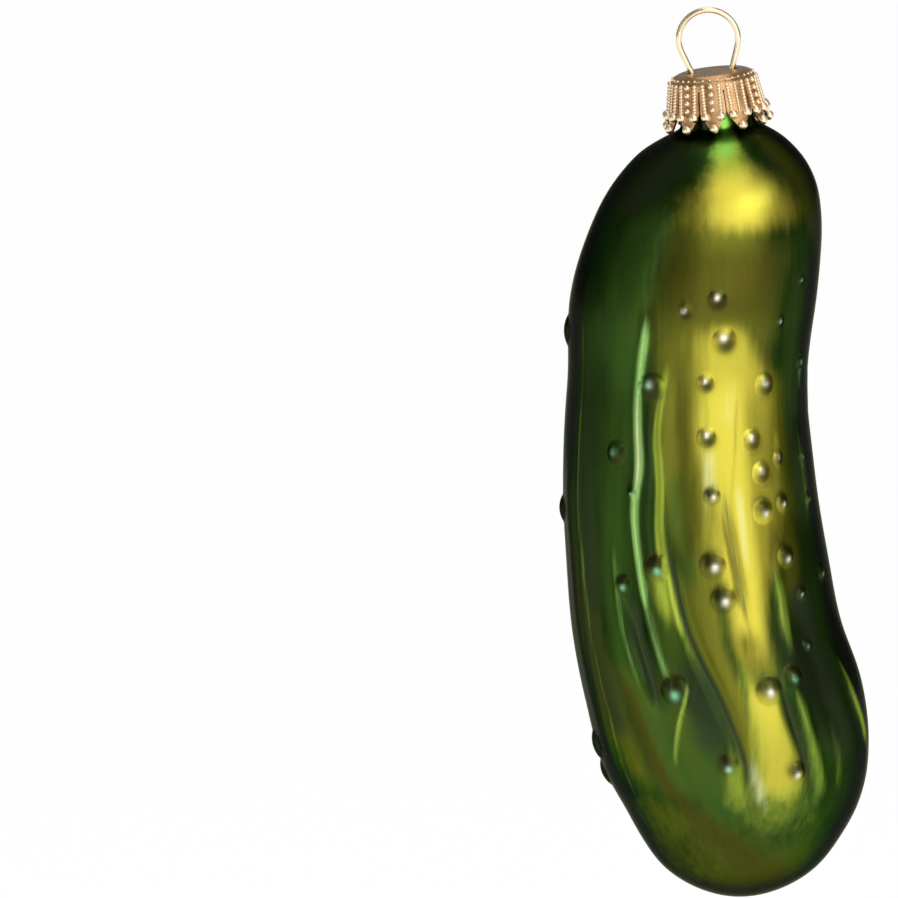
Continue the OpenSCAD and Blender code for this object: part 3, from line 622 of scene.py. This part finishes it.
# %% Sprayed strokes and painted light
# Strength, and the line as share down, angle, half width in degrees
sprays = {
    "olive": [
        (0.8, [(0.04, -14, 10), (0.1, 0, 22), (0.15, 12, 34), (0.2, 10, 36), (0.25, 10, 38), (0.3, 4, 34)]),
        (0.75, [(-0.02, 50, 14), (0.03, 54, 14), (0.08, 66, 15), (0.14, 78, 14), (0.2, 84, 10)]),
        (1, [(0.22, -4, 16), (0.33, -4, 13), (0.46, -1, 11), (0.6, 0, 8), (0.663, 0.5, 7), (0.718, 4.8, 5),
             (0.76, 5, 4), (0.83, 6, 2.5)]),
        (0.7, [(0.28, 46, 12), (0.5, 48, 10), (0.58, 42, 8), (0.66, 36, 6)]),
        (0.5, [(0.56, -17, 7), (0.66, -15, 8), (0.73, -13, 8)]),
        (0.55, [(0.7, -22, 8), (0.78, -17, 11), (0.87, -6, 16)]),
        (0.5, [(0.58, -57, 6), (0.74, -52, 8), (0.86, -42, 10)]),
        (0.7, [(0.65, -41, 4), (0.7, -38, 6), (0.74, -33.5, 8), (0.79, -30, 7), (0.87, -24, 12)]),
        (0.42, [(0.83, -34, 26), (0.92, -20, 80), (1.05, 0, 200)]),
        (0.6, [(0.08, 122, 2), (0.24, 122, 12), (0.4, 123, 14), (0.7, 124, 13), (0.9, 125, 3)]),
        (0.7, [(0.05, 161, 2), (0.2, 161, 9), (0.4, 162, 13), (0.76, 163, 12), (0.93, 165, 3)]),
        (0.7, [(0.1, 202, 2), (0.25, 201, 10), (0.4, 199, 13), (0.72, 197, 13), (0.9, 196, 3)]),
        (0.6, [(0.07, 233, 2), (0.22, 233, 8), (0.45, 232, 11), (0.75, 232, 11), (0.92, 230, 3)]),
    ],
    "green": [
        (0.7, [(0.06, -34, 14), (0.12, -34, 16), (0.2, -34, 15), (0.4, -34, 10), (0.6, -42, 8),
               (0.74, -30, 12), (0.88, -20, 16)]),
        (0.4, [(0.4, 66, 5), (0.56, 66, 6), (0.7, 52, 10), (0.84, 50, 12)]),
        (0.6, [(0.4, -6, 4), (0.5, -6, 5), (0.6, -4, 5)]),
        (0.6, [(0.56, -17, 7), (0.66, -15, 8), (0.73, -13, 8)]),
        (0.7, [(0.72, -14, 9), (0.78, -12, 10), (0.84, -8, 13), (0.92, 0, 20)]),
        (0.45, [(0.8, 20, 26), (0.9, 20, 34), (0.99, 20, 44)]),
    ],
    "lime": [
        (0.9, [(-0.05, 10, 8), (0.015, 12, 12), (0.035, 13, 15), (0.055, 14, 18), (0.09, 14, 20)]),
        (0.85, [(0.27, -10, 1.9), (0.35, -13.5, 1.9), (0.385, -15, 1.9), (0.435, -13, 2.1), (0.5, -15, 2.3),
                (0.55, -15, 3), (0.6, -12, 3), (0.66, -8, 2)]),
        (0.8, [(0.53, -18, 3), (0.575, -17, 6.5), (0.6, -16, 5), (0.64, -14, 3)]),
        (0.9, [(0.64, 17, 8), (0.7, 18, 7), (0.76, 17, 8.5), (0.8, 19, 11), (0.84, 20, 12), (0.88, 18, 12)]),
        (0.45, [(0.78, 17, 12), (0.84, 18, 15), (0.92, 16, 16)]),
        (0.4, [(0.59, -9.5, 2), (0.63, -8.5, 2.5), (0.7, -5, 2)]),
        (0.55, [(0.76, 0, 2), (0.803, 1, 3), (0.84, -1, 7), (0.89, 1, 8)]),
        (0.25, [(0.12, 118.8, 0.8), (0.9, 118.8, 0.8)]),
    ],
    # Light green lines on the ridge crests: the narrow lamp at the left draws bright lines there, and this
    # colour brightens them as painted highlight
    "mint": [
        (0.9, [(0.21, -22, 2), (0.25, -22, 2.4), (0.33, -24.6, 2), (0.42, -22.7, 2.3), (0.47, -26.5, 2),
               (0.57, -25.5, 1.8), (0.63, -23, 1.5)]),
        (0.45, [(0.56, -25.5, 1.8), (0.637, -22.3, 2), (0.68, -21.5, 2), (0.73, -20, 2)]),
        (0.3, [(0.5, -40, 1.5), (0.6, -39, 1.7), (0.676, -35.4, 1.7), (0.73, -34, 1.7)]),
    ],
    "leaf": [(0.9, [(-0.2, 8, 10), (0.005, 10, 12), (0.05, 11, 13)])],
    "fresh": [(1, [(-0.03, 10, 11), (0.015, 11.5, 14), (0.042, 12, 13)])],
    "yellow": [
        (1, [(0.02, 13, 12), (0.05, 14, 20), (0.085, 19, 30), (0.11, 25, 31), (0.143, 31, 25)]),
        (1, [(0.215, 13, 9), (0.26, 16, 14), (0.31, 23, 21), (0.366, 25, 23), (0.42, 24, 21), (0.47, 27, 20),
             (0.52, 23, 16), (0.56, 21, 12), (0.6, 20, 9), (0.645, 18.5, 8), (0.7, 18, 7)]),
        (0.8, [(0.67, 17, 6), (0.732, 17, 7.5), (0.789, 19, 10), (0.83, 20, 11), (0.87, 18, 11)]),
        (0.8, [(0.35, 46, 2.5), (0.4, 45.6, 3), (0.46, 45, 2)]),
        (0.7, [(0.49, 40, 3), (0.54, 37, 3.5), (0.59, 35, 2)]),
    ],
    "brown": [
        (0.6, [(0.06, -80, 12), (0.22, -86, 12), (0.35, -84, 10), (0.5, -76, 9), (0.62, -64, 7),
               (0.7, -58, 6), (0.8, -56, 6)]),
        (0.6, [(0.67, -44, 4), (0.738, -40, 5), (0.78, -37.5, 5), (0.836, -31.5, 6), (0.869, -24.3, 8),
                (0.907, -10.8, 14), (0.95, 16, 30), (1.05, 30, 80)]),
        (0.62, [(0.11, 16, 26), (0.15, 18, 36), (0.2, 14, 34), (0.26, 14, 26)]),
        (0.35, [(0.88, -30, 40), (0.95, -10, 90), (1.05, 0, 200)]),
        (0.5, [(0.24, 35, 6), (0.3, 42, 4), (0.34, 44, 3)]),
        (0.35, [(0.3, 25, 1.2), (0.4, 22, 1.2), (0.47, 18, 1.5), (0.56, 17, 1.5)]),
        (0.6, [(0.6, 16, 4), (0.665, 17.5, 10), (0.735, 21, 5)]),
    ],
    # The wide dark strokes make the sides darker, and the narrow ones along the grooves are painted shade
    "dark": [
        (0.5, [(-0.1, 66, 44), (0.03, 64, 34), (0.1, 82, 36), (0.2, 88, 36)]),
        (1, [(0.14, 84, 36), (0.2, 88, 36), (0.35, 90, 36), (0.5, 90, 34), (0.62, 88, 30), (0.8, 88, 28),
             (0.95, 84, 34)]),
        (0.95, [(-0.1, -54, 46), (0.03, -48, 33), (0.07, -52, 20), (0.12, -60, 14)]),
        (0.9, [(-0.1, 180, 100), (0.04, 180, 90), (0.1, 180, 60)]),
        (0.7, [(0.1, 105, 3), (0.25, 103, 7), (0.75, 99, 7), (0.93, 98, 2)]),
        (0.7, [(0.08, 139, 3), (0.22, 141, 7), (0.76, 149, 7), (0.92, 151, 2)]),
        (0.7, [(0.1, 183, 3), (0.26, 181, 7), (0.78, 177, 7), (0.95, 176, 2)]),
        (0.7, [(0.07, 221, 3), (0.2, 219, 7), (0.74, 215, 7), (0.92, 214, 2)]),
        (0.7, [(0.09, 246, 3), (0.24, 246, 7), (0.75, 250, 7), (0.93, 251, 2)]),
        (0.7, [(0.16, -66, 12), (0.5, -58, 11), (0.66, -57, 9), (0.8, -51, 8)]),
        (0.9, [(0.57, -33, 3), (0.61, -31.3, 4.5), (0.665, -30, 4.8), (0.7, -29, 4), (0.75, -28, 2)]),
        (0.85, [(0.5, -12, 1.3), (0.56, -11, 1.4), (0.608, -9.3, 1.7), (0.663, -5.5, 1.9), (0.71, -2, 2),
                (0.754, 1.3, 1.9), (0.786, 4.1, 1.6), (0.84, 6, 1)]),
        (0.45, [(0.33, -19, 2), (0.4, -18.5, 2), (0.5, -20, 2.2)]),
        (0.65, [(0.64, -12, 4), (0.7, -10, 7), (0.737, -9, 9), (0.77, -8, 8), (0.82, -8, 5)]),
        (0.85, [(0.55, 50, 7), (0.6, 48, 12), (0.66, 44, 15), (0.7, 45, 14), (0.76, 52, 12), (0.84, 62, 10)]),
        (0.8, [(0.67, 25.5, 1.5), (0.718, 26.3, 2.2), (0.752, 27.8, 2.4), (0.792, 31.3, 2.2),
               (0.85, 34, 1.5)]),
        (0.65, [(0.43, 15, 1), (0.515, 16.9, 1.5), (0.589, 18.3, 1.6), (0.65, 18.5, 1)]),
    ],
    # Thin painted highlights along the folds and the mould seam
    "streak": [
        (0.9, [(0.66, 62, 1), (0.708, 63.7, 1.6), (0.735, 67, 2), (0.774, 72, 2), (0.82, 77, 1)]),
        (0.7, [(0.53, 36, 1.6), (0.572, 36.5, 2.4), (0.604, 36.8, 2.8), (0.636, 36.9, 2.4), (0.68, 36, 1.5)]),
        (0.45, [(0.68, 32, 2), (0.765, 34.4, 2.8), (0.818, 38.5, 4), (0.875, 40, 5)]),
        (0.6, [(0.67, -11, 0.8), (0.716, -14, 1), (0.739, -19, 1.1), (0.785, -24, 1.2), (0.83, -26, 1)]),
        (0.3, [(0.73, 47, 2), (0.77, 48.3, 2.5), (0.812, 50.3, 2.5), (0.87, 50, 2)]),
        (0.35, [(0.36, 63, 1.6), (0.44, 63.5, 1.6), (0.52, 65, 1.6)]),
        (0.3, [(0.12, -62, 0.8), (0.5, -61, 0.8), (0.9, -54, 0.8)]),
    ],
    # Whitish painted highlights on the ridges and in the bright band
    "pale": [
        (0.4, [(0.775, 7, 2.5), (0.817, 8.4, 3.2), (0.841, 10, 3.4), (0.89, 12, 2.5)]),
        (0.4, [(0.37, 9, 3), (0.43, 9, 4), (0.49, 9, 3)]),
        (0.4, [(0.42, 22, 2), (0.51, 22.5, 2.6), (0.58, 22, 2)]),
        (0.6, [(0.31, -24, 0.9), (0.36, -23.8, 1.1), (0.4, -22.8, 1.4), (0.47, -25, 1)]),
        (0.22, [(0.28, 22, 3), (0.34, 20, 4), (0.4, 20, 3)]),
    ],
}


def keep_attribute(piece, name, values):
    made = piece.data.attributes.new(name, "FLOAT", "POINT")
    made.data.foreach_set("value", np.clip(values, 0, 1).astype(np.float32))


share, angle, _ = where_on_pickle(flat_places)
# Every layer, lacquer and painted light alike, becomes an attribute
for lacquer, strokes in sprays.items():
    felt = [strength * along_line(share, angle, line, 0, 0.05, 2.4) for strength, line in strokes]
    keep_attribute(pickle, lacquer, np.max(felt, axis=0))
keep_attribute(pickle, "groove", -fold)
keep_attribute(pickle, "wart_foot", wart_foot)
keep_attribute(pickle, "wart_top", wart_top)
print("lacquers", ", ".join(sprays))

# %% Satin lacquer over silver
satin, tree, shader = new_finish("satin_lacquer", 1, 0.33)
shader.inputs["Specular Tint"].default_value = (0.2, 0.22, 0.04, 1)
shader.inputs["Coat Weight"].default_value = 0.06
shader.inputs["Coat Roughness"].default_value = 0.2
cloudy = noise(tree, 5 * mm, (1, 1, 3))
streaky = noise(tree, 0.9 * mm, (1, 1, 14))
both = math_node(tree, "SUBTRACT", math_node(tree, "ADD", cloudy, streaky), 1.0)
wobble = math_node(tree, "MULTIPLY", both, 0.42)


def spray_mask(name):
    """A layer's edge is broken up by clouds and fine streaks. Where the layer has nothing, nothing shows."""
    felt = attribute(tree, name)
    uneven = math_node(tree, "ADD", felt, wobble)
    uneven = math_node(tree, "MINIMUM", uneven, math_node(tree, "MULTIPLY", felt, 4))
    return map_range(tree, uneven, 0.05, 0.95)


lacquer_colours = {
    "olive": (0.135, 0.14, 0.012), "green": (0.042, 0.1, 0.013), "lime": (0.32, 0.4, 0.04),
    "mint": (0.3, 0.56, 0.15), "leaf": (0.12, 0.38, 0.06), "fresh": (0.3, 0.7, 0.11),
    "yellow": (0.54, 0.47, 0.05), "brown": (0.06, 0.05, 0.005), "dark": (0.032, 0.045, 0.02),
    "streak": (0.32, 0.47, 0.06), "pale": (0.72, 0.74, 0.42),
}
colour = over(tree, map_range(tree, cloudy, 0.3, 0.7), (0.013, 0.034, 0.004), (0.022, 0.055, 0.007))
# Lacquers and painted light are laid over the base one after another
for lacquer, its_colour in lacquer_colours.items():
    colour = over(tree, spray_mask(lacquer), colour, its_colour)
# Painted shade in the grooves, darker the deeper they are
colour = over(tree, math_node(tree, "MULTIPLY", attribute(tree, "groove"), 0.4), colour, (0.03, 0.05, 0.01))
# Painted shade on one side of each wart
foot_mask = math_node(tree, "MULTIPLY", attribute(tree, "wart_foot"), 0.92)
colour = over(tree, foot_mask, colour, (0.035, 0.036, 0.008))
# Painted highlight on each wart: whitish on the yellow and olive lacquer, light green elsewhere
warm = map_range(tree, math_node(tree, "ADD", attribute(tree, "yellow"), attribute(tree, "olive")), 0.15, 0.5)
bare_glass = over(tree, warm, (0.25, 0.62, 0.36), (0.95, 0.92, 0.74))
colour = over(tree, math_node(tree, "MULTIPLY", attribute(tree, "wart_top"), 0.9), colour, bare_glass)
tree.links.new(colour, shader.inputs["Base Color"])
glossy_tip = map_range(tree, attribute(tree, "wart_top"), 0.1, 0.8, 0.33, 0.27)
tree.links.new(glossy_tip, shader.inputs["Roughness"])
bump(tree, shader, (streaky, 0.02 * mm), (noise(tree, 0.35 * mm), 0.008 * mm))
pickle.data.materials.append(satin)
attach(pickle, "pickle")
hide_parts("glass_body")
print(len(lacquer_colours), "lacquers over a dark green")

# %% [markdown]
# ## Crown cap
# The cap was stamped from one thin sheet: a flat lid, a rounded edge and a skirt slit into tabs, with rows of
# little beads pressed out of it. The sheet is drawn ring by ring like the pickle, upright and with its top
# at the origin. It gets the metal's thickness from a modifier, and only then the beads, which a modifier
# would hollow out.

# %% Sizes of the cap
cap_r = 5.8 * mm
cap_round = 1.8 * mm
cap_flat_r = cap_r - cap_round
cap_sheet = 0.3 * mm
tab_end = 4.75 * mm
tip_depth = 6.85 * mm
tab_flare = math.radians(10)
tab_count = 11
tab_pitch = 2 * math.pi / tab_count
first_tab = math.radians(-4)
columns_per_tab = 13
column = tab_pitch / columns_per_tab
slit_top = 1.95 * mm
lid_start_r = 0.7 * mm
# Radius and drop of the lid's rings, in mm
lid_rings = [(2.2, 0.04), (3.4, 0.05), (3.75, 0.02), (4.0, 0)]
# Depth of the skirt's rings, and how far each is pressed in, in mm
skirt_rings = [
    (0.04, 0), (0.14, 0), (0.3, 0), (0.5, 0), (0.6, 0.02), (0.7, 0.13), (0.82, 0.02), (1, 0), (1.35, 0),
    (1.8, 0), (1.95, 0), (2.4, 0), (3, 0), (3.6, 0), (4.2, 0), (4.75, 0), (5.15, 0), (5.6, 0), (6.1, 0),
    (6.6, 0), (6.95, 0),
]


def on_cap(depth):
    """Radius at a depth below the top, and how far the face has turned from level towards upright."""
    if depth < cap_round:
        turn = math.acos(1 - depth / cap_round)
        return cap_flat_r + cap_round * math.sin(turn), turn
    return cap_r + (depth - cap_round) * math.tan(tab_flare), math.pi / 2 - tab_flare


# %% Draw the sheet
start_fresh()
bpy.ops.mesh.primitive_circle_add(
    vertices=tab_count * columns_per_tab, radius=lid_start_r, fill_type="TRIFAN"
)
crown = bpy.context.object
crown.name = "crown_cap"
# The lid's first point that isn't its middle is turned to where a tab's columns start
edge = next(v.co for v in crown.data.vertices if v.co.length > lid_start_r / 2)
crown.rotation_euler.z = first_tab - math.atan2(edge.x, -edge.y)
settle()
edit()
pick(crown, lambda v: v.co.length > lid_start_r / 2)
ring = Ring((0, 0, 0), lid_start_r, lid_start_r, 0)
for r, drop in lid_rings:
    ring = next_ring(ring, Ring((0, 0, -drop * mm), r * mm, r * mm, 0))
for depth, pressed in skirt_rings:
    r, turn = on_cap(depth * mm)
    r -= pressed * mm * math.sin(turn)
    down = depth + pressed * math.cos(turn)
    ring = next_ring(ring, Ring((0, 0, -down * mm), r, r, 0))
bpy.ops.object.mode_set(mode="OBJECT")
print("sheet", len(crown.data.polygons), "faces")


# %% Cut it into tabs
slit_from = 6.2 * column
edge_from = 5.9 * column
edge_spread = 1.045


def tab_angle(v):
    """Angle of a point from the middle of the nearest tab."""
    a = math.atan2(v.x, -v.y) - first_tab
    return a - tab_pitch * round(a / tab_pitch)


def in_slit(face):
    middle = face.calc_center_median()
    return abs(tab_angle(middle)) > slit_from and middle.z < -slit_top


edit("FACE")
pick(crown, in_slit, "faces")
bpy.ops.mesh.delete(type="FACE")
bpy.ops.object.mode_set(mode="OBJECT")
# Below its square end each tab narrows to a blunt point, and its edges are spread to make the slit narrow.
# Each row is a depth and the share of the tab's width that is left there
narrowing = [(tab_end, 1), (5.15 * mm, 0.93), (tip_depth, 0.32), (7.2 * mm, 0.2)]
for v in crown.data.vertices:
    a = tab_angle(v.co)
    share_kept = float(np.interp(-v.co.z, *zip(*narrowing)))
    if abs(a) > edge_from and -v.co.z > slit_top:
        share_kept *= edge_spread
    turn, r = a * (share_kept - 1), math.hypot(v.co.x, v.co.y)
    full = math.atan2(v.co.x, -v.co.y) + turn
    v.co.x, v.co.y = r * math.sin(full), -r * math.cos(full)
print("tabs", tab_count)

# %% Thickness and slots for the wire
edit()
face_outwards()
bpy.ops.object.mode_set(mode="OBJECT")
sheet = crown.modifiers.new("sheet", "SOLIDIFY")
sheet.thickness, sheet.offset = cap_sheet, -1
bpy.ops.object.modifier_apply(modifier="sheet")

wire_r = 0.4 * mm
loop_r = 3.925 * mm
leg_x = 2.7 * mm
leg_bend = 1 * mm
leg_reach = 10.5 * mm
leg_clear = 0.2 * mm
slot_clear = 0.12 * mm
edge_wear = 0.05 * mm
draw_travel = 4 * mm
bend_depth = cap_sheet / 2
bend_x = leg_x + leg_bend
bend_drop = cap_top_drop + bend_depth
leg_lean = math.atan2(bend_drop, bend_x) - math.acos((loop_r + leg_bend) / math.hypot(bend_x, bend_drop))
leg_end_x = neck_r - neck_wall - leg_clear - wire_r
leg_fall = leg_reach - bend_depth
leg_splay = math.asin(leg_bend / math.hypot(bend_x - leg_end_x, leg_fall)) - math.atan2(
    bend_x - leg_end_x, leg_fall
)
slot_half = wire_r + slot_clear
slot_end = leg_x + (draw_travel + cap_sheet) * math.tan(leg_splay) + bend_depth * math.tan(leg_lean)
for side in (-1, 1):
    start_fresh()
    bpy.ops.mesh.primitive_cylinder_add(vertices=24, radius=slot_half, depth=2 * mm, location=(0, 0, 0))
    cutter = bpy.context.object
    for v in cutter.data.vertices:
        v.co.x += side * (slot_end if v.co.x * side > 0 else leg_x)
    make_active(crown)
    slot = crown.modifiers.new("slot", "BOOLEAN")
    slot.operation, slot.solver, slot.object = "DIFFERENCE", "EXACT", cutter
    bpy.ops.object.modifier_apply(modifier="slot")
    bpy.data.objects.remove(cutter)
worn = crown.modifiers.new("worn_edges", "BEVEL")
worn.width, worn.segments, worn.limit_method, worn.angle_limit = edge_wear, 2, "ANGLE", math.radians(50)
bpy.ops.object.modifier_apply(modifier="worn_edges")
bpy.ops.object.shade_smooth_by_angle(angle=math.radians(40))
print("slots from", round(leg_x / mm, 2), "to", round(slot_end / mm, 2), "mm out")

# %% [markdown]
# Every tab carries two columns of tiny beads, a middle column that is coarse on some tabs and fine on
# others, and three big beads at its tip. The beads could be added one by one all round. Here that is done
# for one tab of each kind, and the tab's beads are then copied round the cap.


# %% Beads of one tab
big_bead, column_bead, edge_bead = 1.3 * mm, 0.56 * mm, 0.36 * mm
corner_depth, edge_depth = 5.3 * mm, 0.6 * mm
corner_off, column_off, edge_off = 1.0 * mm, 1.08 * mm, 0.95 * mm
standing_out = 0.12


def one_bead(d, depth, across, finer):
    """A bead pressed out of the face at a depth and a distance from the tab's middle."""
    r, turn = on_cap(depth)
    middle = Vector((0, -r, -depth)) + Vector((0, -math.sin(turn), math.cos(turn))) * d * standing_out
    a = across / r
    place = Vector((-middle.y * math.sin(a), middle.y * math.cos(a), middle.z))
    bpy.ops.mesh.primitive_ico_sphere_add(subdivisions=3 if finer else 2, radius=d / 2, location=place)
    return bpy.context.object


def bead_column(d, first, pitch, count, across):
    """A column of small beads. The first one's depth and the pitch are in mm."""
    return [one_bead(d, (first + pitch * k) * mm, across, False) for k in range(count)]


def tab_of_beads(name, middle_d, first, pitch, count):
    """All beads of one tab, which has its own kind of middle column."""
    start_fresh()
    made = []
    for side in (-1, 1):
        made.append(one_bead(big_bead, corner_depth, side * corner_off, True))
        made += bead_column(column_bead, 1.25, 0.42, 9, side * column_off)
        made.append(one_bead(edge_bead, edge_depth, side * edge_off, False))
    made.append(one_bead(edge_bead, edge_depth, 0, False))
    made.append(one_bead(big_bead, tip_depth, 0, True))
    made += bead_column(middle_d, first, pitch, count, 0)
    for bead in made:
        bead.select_set(True)
    bpy.ops.object.join()
    beads = bpy.context.object
    beads.name = name
    settle()
    bpy.ops.object.shade_smooth()
    return beads


coarse = tab_of_beads("coarse_tab_beads", 0.8 * mm, 1.35, 1.02, 4)
fine = tab_of_beads("fine_tab_beads", 0.44 * mm, 1.25, 0.36, 11)
keep_attribute(crown, "bead", np.zeros(len(crown.data.vertices)))
for beads in (coarse, fine):
    keep_attribute(beads, "bead", np.ones(len(beads.data.vertices)))
start_fresh()
for k in range(tab_count):
    pattern = coarse if k % 4 in (0, 2) else fine
    copy = pattern.copy()
    copy.data = pattern.data.copy()
    bpy.context.collection.objects.link(copy)
    copy.rotation_euler.z = first_tab + k * tab_pitch
    copy.select_set(True)
bpy.data.objects.remove(coarse)
bpy.data.objects.remove(fine)
crown.select_set(True)
bpy.context.view_layer.objects.active = crown
bpy.ops.object.join()
crown.rotation_euler.y = -neck_lean
crown.location = cap_top
settle()
print("cap", len(crown.data.polygons), "faces")

# %% [markdown]
# ## Wire loop
# The hanger is one springy wire. Its loop narrows towards the cap, passes through the two slots and splays
# out inside the neck, which holds it. Half of it is drawn: a small round section is spun round the loop,
# spun back round the bend, and pulled down the leg. A mirror makes the other half, so both legs match.

# %% Draw half the wire
start_fresh()
bpy.ops.mesh.primitive_circle_add(
    vertices=20, radius=wire_r, location=(0, 0, loop_r), rotation=(0, math.pi / 2, 0)
)
wire = bpy.context.object
wire.name = "wire_loop"
settle()


def to_wire_end(piece, place):
    """Selects the points that lie within the wire's own radius of a place in its plane."""
    return pick(piece, lambda v: (v.co - Vector((place[0], 0, place[1]))).length < 1.02 * wire_r)


def spin_wire(middle, angle, steps):
    bpy.ops.mesh.spin(steps=steps, angle=angle, center=(middle[0], 0, middle[1]), axis=(0, 1, 0))


def pull_wire(here, there):
    """Draws the wire on in a straight line."""
    pull((there[0] - here[0], 0, there[1] - here[1]))


def on_circle(middle, r, angle):
    """A place on a circle in the wire's plane, as x and z."""
    return middle[0] + r * math.cos(angle), middle[1] + r * math.sin(angle)


edit()
bpy.ops.mesh.select_all(action="SELECT")
spin_wire((0, 0), -(math.pi / 2 + leg_lean), 30)
loop_end = on_circle((0, 0), loop_r, -leg_lean)
print("points found at the loop's end:", to_wire_end(wire, loop_end))
bend_middle = (bend_x, -bend_drop)
bend_start = on_circle(bend_middle, leg_bend, math.pi - leg_lean)
bend_end = on_circle(bend_middle, leg_bend, math.pi + leg_splay)
leg_end = (leg_end_x, -cap_top_drop - leg_reach)
end_round = 0.12 * mm
pull_wire(loop_end, bend_start)
spin_wire(bend_middle, leg_lean + leg_splay, 8)
print("points found at the bend's end:", to_wire_end(wire, bend_end))
pull_wire(bend_end, leg_end)
bpy.ops.mesh.edge_face_add()
bpy.ops.mesh.inset(thickness=end_round)
bpy.ops.transform.translate(value=(0, 0, -end_round / 2))
bpy.ops.object.mode_set(mode="OBJECT")

# %% Mirror it and set it in the cap
weld = 0.01 * mm
other_half = wire.modifiers.new("other_half", "MIRROR")
other_half.merge_threshold = weld
bpy.ops.object.modifier_apply(modifier="other_half")
edit()
bpy.ops.mesh.select_all(action="SELECT")
bpy.ops.mesh.remove_doubles(threshold=weld)
face_outwards()
bpy.ops.object.mode_set(mode="OBJECT")
bpy.ops.object.shade_smooth_by_angle(angle=math.radians(50))
wire.rotation_euler.y = -neck_lean
wire.location = loop_middle
settle()
print("wire", len(wire.data.polygons), "faces")

# %% [markdown]
# ## Metal
# The cap is thin sheet with a brass-coloured wash, blotchy on the flat parts and lighter on the beads.
# The wire is smoother and paler. Both are metallic shaders whose colour and roughness wander a little with
# noise. The lighter beads could be painted by hand, but every bead was marked when it was made, so the mark
# picks the colour.

# %% Finishes of the cap and the wire
stamped, tree, shader = new_finish("stamped_brass", 1, 0.3)
blotches = noise(tree, 1.6 * mm)
grain = noise(tree, 0.12 * mm)
colour = over(tree, map_range(tree, blotches, 0.3, 0.7), (0.45, 0.25, 0.12), (0.6, 0.37, 0.19))
colour = over(tree, attribute(tree, "bead"), colour, (0.95, 0.77, 0.53))
tree.links.new(colour, shader.inputs["Base Color"])
tree.links.new(map_range(tree, blotches, 0.3, 0.7, 0.24, 0.36), shader.inputs["Roughness"])
bump(tree, shader, (grain, 0.01 * mm))
crown.data.materials.clear()
crown.data.materials.append(stamped)
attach(crown, "crown")
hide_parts("cap")

drawn, tree, shader = new_finish("drawn_wire", 1, 0.2)
streaks = noise(tree, 0.6 * mm, (1, 1, 4), 2)
colour = over(tree, map_range(tree, streaks, 0.3, 0.7), (0.84, 0.67, 0.42), (0.92, 0.78, 0.54))
tree.links.new(colour, shader.inputs["Base Color"])
tree.links.new(map_range(tree, streaks, 0.3, 0.7, 0.15, 0.28), shader.inputs["Roughness"])
wire.data.materials.append(drawn)
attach(wire, "loop")
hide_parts("hanger")
print("finishes", stamped.name, "and", drawn.name)
